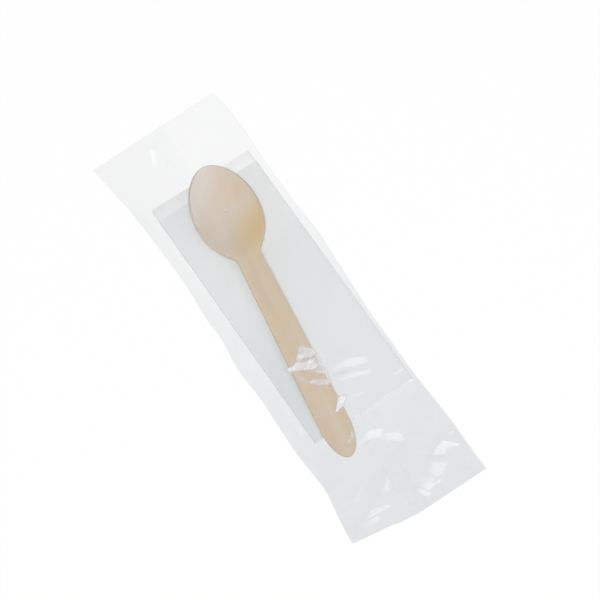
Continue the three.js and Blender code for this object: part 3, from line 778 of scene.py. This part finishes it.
def settle(height, floor, rise_across, rise_along, stiffness):
    """The film's heights when each point hangs from its neighbours, with wanted rises between
    them, and the contents hold it up. The border stays where it is, and the rest moves in turns,
    like the two colours of a chessboard."""
    rows, columns = height.shape
    odd = np.add.outer(np.arange(rows), np.arange(columns)) % 2 == 1
    east = (stiffness[:, :-1] + stiffness[:, 1:]) / 2
    north = (stiffness[:-1] + stiffness[1:]) / 2
    total = east[1:-1, :-1] + east[1:-1, 1:] + north[:-1, 1:-1] + north[1:, 1:-1]
    height = height.copy()
    inner = height[1:-1, 1:-1]
    for rounds_left in range(SETTLE_ROUNDS, 0, -1):
        step = OVERSHOOT if rounds_left > CALM_ROUNDS else 1
        for colour in (odd, ~odd):
            pull = (east[1:-1, :-1] * (height[1:-1, :-2] + rise_across[1:-1, :-1])
                    + east[1:-1, 1:] * (height[1:-1, 2:] - rise_across[1:-1, 1:])
                    + north[:-1, 1:-1] * (height[:-2, 1:-1] + rise_along[:-1, 1:-1])
                    + north[1:, 1:-1] * (height[2:, 1:-1] - rise_along[1:, 1:-1]))
            moved = np.maximum(inner + step * (pull / total - inner), floor[1:-1, 1:-1])
            chosen = colour[1:-1, 1:-1]
            inner[chosen] = moved[chosen]
    return height


def content_height(x, y, pieces):
    """How high the top of the pieces stands at each place, in millimetres."""
    depsgraph = bpy.context.evaluated_depsgraph_get()
    trees = [BVHTree.FromObject(piece, depsgraph) for piece in pieces]
    top = np.zeros(x.size)
    for number, (px, py) in enumerate(zip(x.ravel() * MM, y.ravel() * MM)):
        hits = [tree.ray_cast((px, py, FEEL_HEIGHT), (0, 0, -1))[0] for tree in trees]
        top[number] = max((hit.z / MM for hit in hits if hit), default=0)
    return top.reshape(x.shape)


def gathers(x, from_cut):
    """Height of the soft pleats that run in from the end seals."""
    inward = from_cut - END_SEAL
    crest = GATHER_REACH / 3
    rise = smoothstep(inward, 0, crest) * (1 - smoothstep(inward, crest, GATHER_REACH))
    wide, fine = PLEAT_WIDTHS
    pleats = np.cos(x / wide + np.sin(x / PLEAT_DRIFT)) + np.cos(x / fine + inward / PLEAT_LEAN)
    return GATHER_HEIGHT * rise * (0.5 + pleats / 4)


def film_finish():
    """Clear film: part mirror, part grey, which is hazy film with painted shade and light, part
    milky, which is whitening with painted sheen, and otherwise seen through.
    """
    material, tree = new_finish("clear_film")
    place = tree.add("ShaderNodeTexCoord", None, None, "Object")
    patches = tree.noise(place, *FILM_PATCHES)
    streaks = tree.noise(place, *FILM_STREAKS)
    scuffs = tree.noise(place, *FILM_SCUFFS)
    # Grey: partly hazy film, partly painted shade and painted light
    haze = tree.attribute("haze") * tree.between(patches, *HAZE_RANGE)
    # Milky white: partly whitened film, partly painted sheen
    milk = tree.attribute("whitened") * tree.between(streaks, *MILK_RANGE)
    relief = tree.bump(tree.noise(place, *FILM_RIPPLE), *FILM_BUMP)
    facing = tree.add("ShaderNodeLayerWeight", None, {"Blend": 0.5, "Normal": relief}, "Facing")
    glancing = (1 - FILM_GLOSS) * facing ** GLANCING_POWER
    gloss = FILM_GLOSS + tree.attribute("glint") + glancing
    share = tree.math("MAXIMUM", gloss + haze + milk, CLEAREST)
    share = tree.math("MINIMUM", share, 1)
    colour = tree.blend(milk / share, FILM_FACE, FILM_WHITENED_AND_SHEEN)
    colour = tree.blend(haze / share, colour, FILM_GREY)
    face = tree.add("ShaderNodeBsdfPrincipled", None, {
        "Base Color": colour, "Metallic": tree.math("MINIMUM", gloss / share, 1),
        "Roughness": tree.between(scuffs, *FILM_ROUGHNESS), "Normal": relief,
    })
    clear = tree.add("ShaderNodeBsdfTransparent", None, {"Color": FILM_TINT})
    finish_surface(tree, tree.add("ShaderNodeMixShader", None, {0: share, 1: clear, 2: face}))
    return material


def crimp(piece, material, vents):
    """Presses ribs across the end seals, cuts their ends to a zigzag and pricks the vents."""
    sizes = {
        "Seal Width": END_SEAL * MM,
        "Rib Pitch": RIB_PITCH * MM,
        "Rib Height": RIB_HEIGHT * MM,
        "Tooth Depth": TOOTH_DEPTH * MM,
        "Vent Radius": VENT_RADIUS * MM,
        "Vent Whiteness": VENT_WHITENESS,
    }
    group = bpy.data.node_groups.new("crimped_ends", "GeometryNodeTree")
    group.interface.new_socket("Film", in_out="OUTPUT", socket_type="NodeSocketGeometry")
    group.interface.new_socket("Film", in_out="INPUT", socket_type="NodeSocketGeometry")
    modifier = piece.modifiers.new("crimped_ends", "NODES")
    modifier.node_group = group
    for name, value in sizes.items():
        socket = group.interface.new_socket(name, in_out="INPUT", socket_type="NodeSocketFloat")
        modifier[socket.identifier] = value
    tree = Tree(group)
    film = tree.add("NodeGroupInput")
    tooth_depth, radius = film.sibling("Tooth Depth"), film.sibling("Vent Radius")
    from_cut, tooth = tree.attribute("from_cut"), tree.attribute("tooth")
    ribs = tree.math("COSINE", from_cut * (2 * math.pi) / film.sibling("Rib Pitch"), 0)
    in_seal = from_cut < film.sibling("Seal Width")
    lift = (0.5 - 0.5 * ribs) * in_seal * film.sibling("Rib Height")
    near_cut = tree.math("MAXIMUM", 1 - from_cut / (TOOTH_REACH * tooth_depth), 0)
    pull = tooth * near_cut * tooth_depth
    offset = tree.add("ShaderNodeCombineXYZ", None, {"Y": pull, "Z": lift})
    crimped = tree.add("GeometryNodeSetPosition", None, {"Geometry": film, "Offset": offset})
    first, second = (Vector(vent) for vent in vents)
    pricks = tree.add("GeometryNodeMeshLine", {"mode": "OFFSET"},
                      {"Count": len(vents), "Start Location": first, "Offset": second - first})
    burr = tree.add("GeometryNodeMeshCone", {"fill_type": "NONE"}, {
        "Vertices": BURR_SIDES, "Radius Top": radius * BURR_TOP, "Radius Bottom": radius,
        "Depth": radius * BURR_HEIGHT,
    })
    # The burrs are white: partly whitened film, partly a painted highlight
    burr = tree.add("GeometryNodeStoreNamedAttribute", {"data_type": "FLOAT", "domain": "POINT"},
                    {"Geometry": burr, "Name": "whitened", "Value": film.sibling("Vent Whiteness")})
    burrs = tree.add("GeometryNodeInstanceOnPoints", None, {"Points": pricks, "Instance": burr})
    whole = tree.add("GeometryNodeJoinGeometry", None, {"Geometry": [crimped, burrs]})
    whole = tree.add("GeometryNodeRealizeInstances", None, {"Geometry": whole})
    whole = tree.add("GeometryNodeSetMaterial", None, {"Geometry": whole, "Material": material})
    tree.add("NodeGroupOutput", None, {0: whole})


# Where the rows and columns of the film cross, seen from above
seal_runs = np.linspace(0, END_SEAL, SEAL_ROWS + 1)
body_runs = np.linspace(END_SEAL, FILM_LENGTH - END_SEAL, BODY_ROWS + 1)
runs = np.concatenate([seal_runs[:-1], body_runs, FILM_LENGTH - seal_runs[-2::-1]])
nominal = runs - FILM_LENGTH / 2
left_fold = smoothed(traced(LEFT_FOLD, nominal), FOLD_ROUNDING)[:, None]
right_fold = smoothed(traced(RIGHT_FOLD, nominal), FOLD_ROUNDING)[:, None]


def film_place(across):
    """Places down the film, at shares of the way from the left fold to the right one."""
    x = left_fold + (right_fold - left_fold) * across
    first, last = traced(HANDLE_CUT, x), traced(BOWL_CUT, x)
    return x, first + (last - first) * runs[:, None] / FILM_LENGTH


columns = np.linspace(0, 1, FILM_COLUMNS)[None, :]
film_x, film_y = film_place(columns)
from_cut = np.minimum(runs, FILM_LENGTH - runs)[:, None] * np.ones_like(columns)
from_fold = np.minimum(film_x - left_fold, right_fold - film_x)

# The back lies on its fin and rises to the side folds, and the upper sheet starts on it
fold_rise = FOLD_LIFT * smoothstep(from_cut, *LIFT_RUN)
back = TABLE_GAP + fold_rise * (1 - smoothstep(from_fold, 0, FOLD_RUN))
contents = content_height(film_x, film_y, [napkin, spoon])
floor = np.maximum(contents + CONTENT_ROOM, back + SHEET_GAP)
floor[from_cut < END_SEAL] = back[from_cut < END_SEAL] + SHEET_GAP

# The upper sheet drawn tight, and then with its facets turned towards the lamp
blank = np.zeros_like(floor)
stiffness = np.ones_like(floor)
tight = settle(floor, floor, blank[:, 1:], blank[1:], stiffness)
tight = tight + gathers(film_x, from_cut) * smoothstep(from_fold, *GATHER_MARGIN)
step_x, step_y = np.diff(film_x, axis=1), np.diff(film_y, axis=0)
rise_across, rise_along = np.diff(tight, axis=1), np.diff(tight, axis=0)
whitened, glint, creased = blank, blank, blank
facets = [(white, 0, turned, corners) for white, turned, corners in CREASES]
facets += [(0, more, turned, corners) for more, turned, corners in GLINTS]
for white, more, turned, corners in facets:
    share = inside(corners, film_x, film_y)
    middle = np.mean(corners, axis=0)
    reach = np.linalg.norm(np.array(corners) - middle, axis=1).mean()
    slope_x = turned * LIT_SLOPE[0] - FACET_BOW * (film_x - middle[0]) / reach
    slope_y = turned * LIT_SLOPE[1] - FACET_BOW * (film_y - middle[1]) / reach
    across = np.minimum(share[:, 1:], share[:, :-1])
    along = np.minimum(share[1:], share[:-1])
    rise_across += across * (slope_x[:, 1:] * step_x - rise_across)
    rise_along += along * (slope_y[1:] * step_y - rise_along)
    stiffness += share * FACET_STIFFNESS
    # Creases gone white: partly whitened film, partly a painted reflection
    whitened = np.maximum(whitened, share * white)
    glint = np.maximum(glint, share * more)
    creased = np.maximum(creased, share)
upper = settle(tight, floor, rise_across, rise_along, stiffness)

# The seals are pressed flat, and hold the back against the upper sheet
pressed = 1 - smoothstep(from_cut, *PRESS_RUN)
upper = upper - pressed * (PRESS - PRESS_LOST * creased) * (upper - floor)
welded = 1 - smoothstep(from_cut, *WELD_RUN)
back = back + welded * (upper - SHEET_GAP - back)

# How grey each sheet looks: a little haze, and painted shade towards the handle end and the left
# side, painted light towards the bowl end, painted shade in folds and painted highlights in streaks
upper_haze_and_shading = UPPER_PAINTED_SHADE * (1 - smoothstep(film_y, *UPPER_SHADE_END))
upper_haze_and_shading -= UPPER_PAINTED_LIGHT * smoothstep(film_y, *UPPER_LIGHT_START)
# Grey folds: partly doubled film, partly painted shade
for grey, corners in DOUBLED_AND_SHADED:
    upper_haze_and_shading = np.maximum(upper_haze_and_shading, grey * inside(corners, film_x, film_y))
# Painted shade down the left side of the back, and painted light at its corner by the bowl end
beside = smoothstep(film_y, *SIDE_START) * (1 - smoothstep(film_y, *SIDE_END))
back_haze_and_shading = BACK_PAINTED_SHADE * (1 - smoothstep(film_y, *BACK_SHADE_END))
back_haze_and_shading += SIDE_PAINTED_SHADE * beside * (1 - smoothstep(film_x, *SIDE_ACROSS))
back_haze_and_shading -= CORNER_PAINTED_LIGHT * smoothstep(film_x, *CORNER_ACROSS) * smoothstep(film_y, *CORNER_START)
# Painted highlights: streaks where both sheets are made clearer
for clear, corners in CLEARED_GLINTS:
    glint_streak = inside(corners, film_x, film_y)
    upper_haze_and_shading -= clear * glint_streak
    back_haze_and_shading -= clear * glint_streak

# One skin: the back shares the side folds of the upper sheet
upper_index = np.arange(film_x.size).reshape(film_x.shape)
back_index = upper_index.copy()
inner_shape = (film_x.shape[0], film_x.shape[1] - 2)
back_index[:, 1:-1] = film_x.size + np.arange(np.prod(inner_shape)).reshape(inner_shape)

# The fin is a flat hose of two layers that hangs on the back along one side
fin_half = FIN_WIDTH / 2
fin_low, fin_high = FIN_LEVELS
fin_line = joined(
    straight((-fin_half, fin_high), (fin_half, fin_high), FIN_CELL),
    straight((fin_half, fin_high), (fin_half, fin_low), FIN_CELL),
    straight((fin_half, fin_low), (-fin_half, fin_low), FIN_CELL),
    straight((-fin_half, fin_low), (-fin_half, TABLE_GAP), FIN_CELL),
)
fin_x, fin_y = film_place((fin_line[None, :, 0] - left_fold) / (right_fold - left_fold))
fin_z = np.broadcast_to(fin_line[None, :, 1], fin_x.shape)
fin_index = back_index.max() + 1 + np.arange(fin_x.size).reshape(fin_x.shape)
fin_blank = np.zeros_like(fin_x)

# All points of the upper sheet, the back and the fin, with what the finish needs at each
every_other = np.arange(FILM_COLUMNS) % 2
tooth = every_other[None, :] * np.sign(-nominal)[:, None]
whole_back = (film_x, film_y, back, back_haze_and_shading, blank, blank, from_cut, tooth)
sheets = [
    (film_x, film_y, upper, upper_haze_and_shading, whitened, glint, from_cut, tooth),
    tuple(values[:, 1:-1] for values in whole_back),
    (fin_x, fin_y, fin_z, fin_blank + FIN_HAZE, fin_blank, fin_blank, fin_blank + from_cut[:, :1],
     fin_blank),
]
x, y, z, haze, white, more, cut_run, notch = (
    np.concatenate([values.ravel() for values in same]) for same in zip(*sheets))
film_faces = np.concatenate(
    [grid_faces(upper_index), grid_faces(back_index)[:, ::-1], grid_faces(fin_index)])
sachet = new_piece("clear_sachet", np.stack([x, y, z], axis=-1) * MM, film_faces)
film_values = {
    "haze": haze, "whitened": white, "glint": more, "from_cut": cut_run * MM, "tooth": notch}
for name, values in film_values.items():
    sachet.data.attributes.new(name, "FLOAT", "POINT").data.foreach_set("value", values)


def on_film(x, y):
    """The point of the upper sheet that lies nearest to a place, in metres."""
    nearest = np.argmin((film_x - x) ** 2 + (film_y - y) ** 2)
    return x * MM, y * MM, upper.ravel()[nearest] * MM


crimp(sachet, film_finish(), [on_film(*vent) for vent in VENTS])
bake(sachet)

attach(sachet, "root")
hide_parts("film_sachet")


# Table, lamps and camera
# A white table under even light from all round, with the main lamp beside the camera, which
# the film doesn't mirror, and a soft lamp on the right that glints in the film's creases.

CAMERA_ELEVATION = math.radians(72)
CAMERA_TURN = math.radians(-34.1)
CAMERA_DISTANCE = 0.9
CAMERA_TARGET = Vector((10.41 * MM, 1.18 * MM, 0))
IMAGE_SIDE = 600
FOCAL_PIXELS = 1871

# Which way each lamp stands, the side of its square, its watts, and if the film mirrors it
LAMPS = {
    "lamp_by_camera": ((-0.15, -0.235, 0.96), 0.25, 8.85, False),
    "lamp_on_right": ((0.34, -0.46, 0.82), 0.42, 1.2, True),
}
LAMP_DISTANCE = 1.2
ROOM_LIGHT = 0.29
WHITE = (1, 1, 1, 1)
TABLE_PAINT = (0.9, 0.9, 0.9, 1)
TABLE_WHITE = 0.97  # share of the table that is plain white in the picture, the rest takes shadows
TABLE_LEVEL = -0.05 * MM
TABLE_HALF = 3

table_corners = [(x * TABLE_HALF, y * TABLE_HALF, TABLE_LEVEL)
                 for x, y in ((-1, -1), (1, -1), (1, 1), (-1, 1))]
table = new_piece("table", table_corners, [(0, 1, 2, 3)])
material, tree = new_finish("white_table")
ray = tree.add("ShaderNodeLightPath", None, None, "Is Camera Ray")
by_film = tree.math("MAXIMUM", ray.sibling("Is Glossy Ray"), ray.sibling("Is Transmission Ray"))
seen = tree.math("MAXIMUM", ray, by_film)
paint = tree.add("ShaderNodeBsdfPrincipled", None, {"Base Color": TABLE_PAINT, "Roughness": 1.0})
glow = tree.add("ShaderNodeEmission", None, {"Color": WHITE, "Strength": 1.0})
shader = tree.add("ShaderNodeMixShader", None, {0: seen * TABLE_WHITE, 1: paint, 2: glow})
finish_surface(tree, shader)
table.data.materials.append(material)

world = bpy.data.worlds.new("room")
world.use_nodes = True
bpy.context.scene.world = world
room = Tree(world.node_tree)
ray = room.add("ShaderNodeLightPath", None, None, "Is Camera Ray")
light = room.add("ShaderNodeBackground", None, {"Color": WHITE, "Strength": ROOM_LIGHT})
backdrop = room.add("ShaderNodeBackground", None, {"Color": WHITE, "Strength": 1.0})
shader = room.add("ShaderNodeMixShader", None, {0: ray, 1: light, 2: backdrop})
room.add("ShaderNodeOutputWorld", None, {"Surface": shader})

for name, (way, side, watts, mirrored) in LAMPS.items():
    lamp = bpy.data.objects.new(name, bpy.data.lights.new(name, "AREA"))
    lamp.data.shape = "SQUARE"
    lamp.data.size = side
    lamp.data.energy = watts
    lamp.location = Vector(way).normalized() * LAMP_DISTANCE
    lamp.rotation_euler = Vector(way).to_track_quat("Z", "Y").to_euler()
    lamp.visible_glossy = mirrored
    bpy.context.collection.objects.link(lamp)

back_way = Vector((math.sin(CAMERA_TURN) * math.cos(CAMERA_ELEVATION),
                   -math.cos(CAMERA_TURN) * math.cos(CAMERA_ELEVATION), math.sin(CAMERA_ELEVATION)))
camera_data = bpy.data.cameras.new("camera")
camera_data.lens = camera_data.sensor_width * FOCAL_PIXELS / IMAGE_SIDE
camera = bpy.data.objects.new("camera", camera_data)
camera.location = CAMERA_TARGET + back_way * CAMERA_DISTANCE
camera.rotation_euler = (math.pi / 2 - CAMERA_ELEVATION, 0, CAMERA_TURN)
bpy.context.collection.objects.link(camera)
bpy.context.scene.camera = camera
bpy.context.scene.view_settings.view_transform = "Standard"
